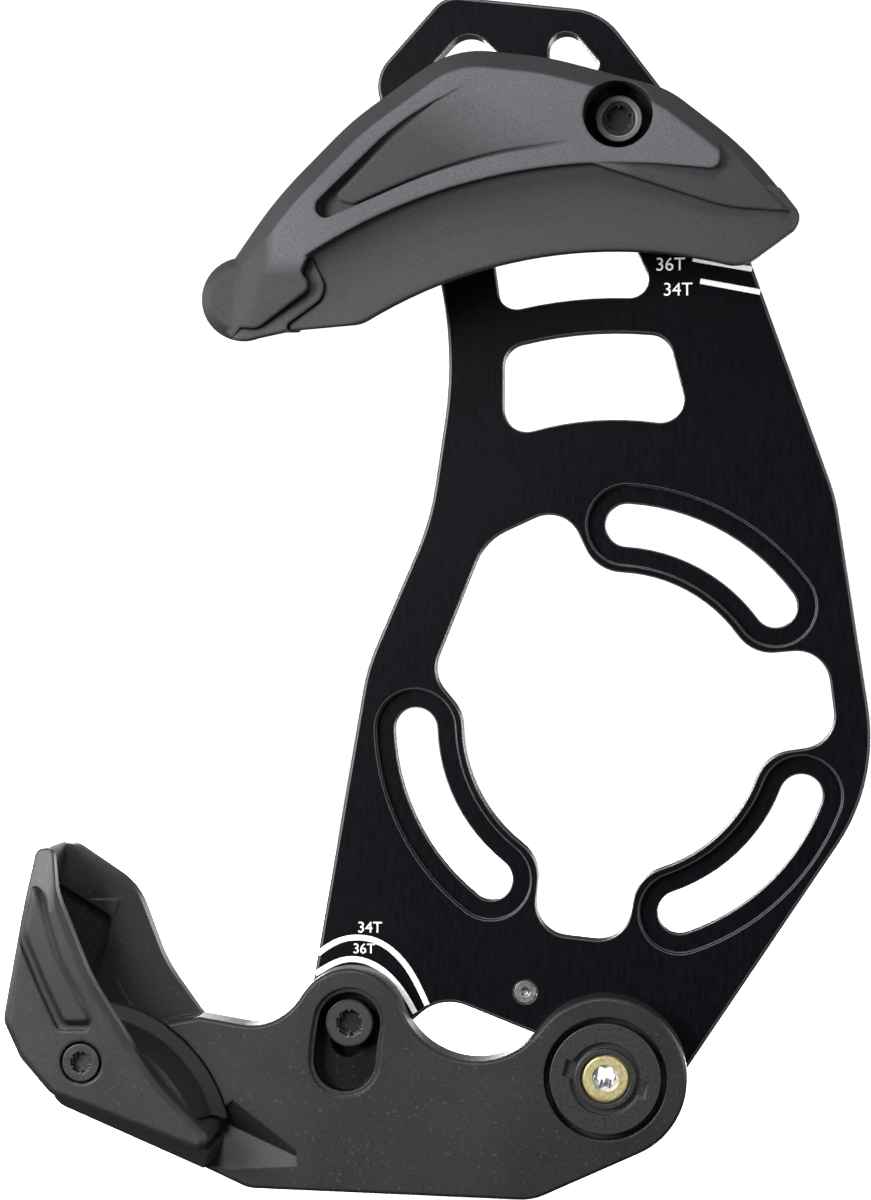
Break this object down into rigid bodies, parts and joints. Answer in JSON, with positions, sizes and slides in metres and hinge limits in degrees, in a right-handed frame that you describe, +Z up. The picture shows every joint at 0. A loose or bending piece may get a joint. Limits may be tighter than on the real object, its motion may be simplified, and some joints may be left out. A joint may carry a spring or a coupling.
{
  "type": "bicycle chain guide",
  "caption": "Bicycle chain guide: slotted back plate round the bottom bracket, upper guide that slides over the chainring and a swinging lower arm with chain slider and cover.",
  "frame": {"origin": "crank axis on the frame-side face of the back plate", "axes": "+Z up, +X towards the front wheel, +Y inboard towards the bicycle frame"},
  "size_m": [0.1256, 0.023, 0.1772],
  "materials": {
    "black_anodised": "black anodised, satin",
    "nylon_cover": "moulded, fine grain",
    "nylon_arm": "moulded, satin",
    "nylon_slider": "moulded, smooth",
    "black_steel": "black oxide",
    "bright_steel": "turned",
    "grey_steel": "dull",
    "brass": "turned"
  },
  "bodies": {
    "plate": {"back_plate": "black_anodised", "stop_pin": "grey_steel", "pivot_flange": "black_anodised", "pivot_nut": "brass", "pivot_bolt": "bright_steel", "arm_clamp_screw": "black_steel"},
    "upper_guide": {"upper_guide_outer": "nylon_cover", "upper_guide_inner": "nylon_arm", "upper_guide_nut": "black_steel", "upper_guide_sleeve": "bright_steel", "upper_guide_bolt": "black_steel"},
    "lower_guide": {"lower_arm": "nylon_arm", "lower_guide_cover": "nylon_cover", "lower_guide_insert": "brass", "lower_guide_screw": "black_steel", "chain_slider": "nylon_slider"}
  },
  "joints": [
    {"name": "upper_guide_slide", "type": "slide", "parent": "plate", "child": "upper_guide", "axis": [0, 0, 1], "range_m": [-0.004, 0.004]},
    {"name": "lower_guide_swing", "type": "hinge", "parent": "plate", "child": "lower_guide", "pos_m": [-0.0011, 0, -0.0515], "axis": [0, 1, 0], "range_deg": [0, 4.4]}
  ]
}
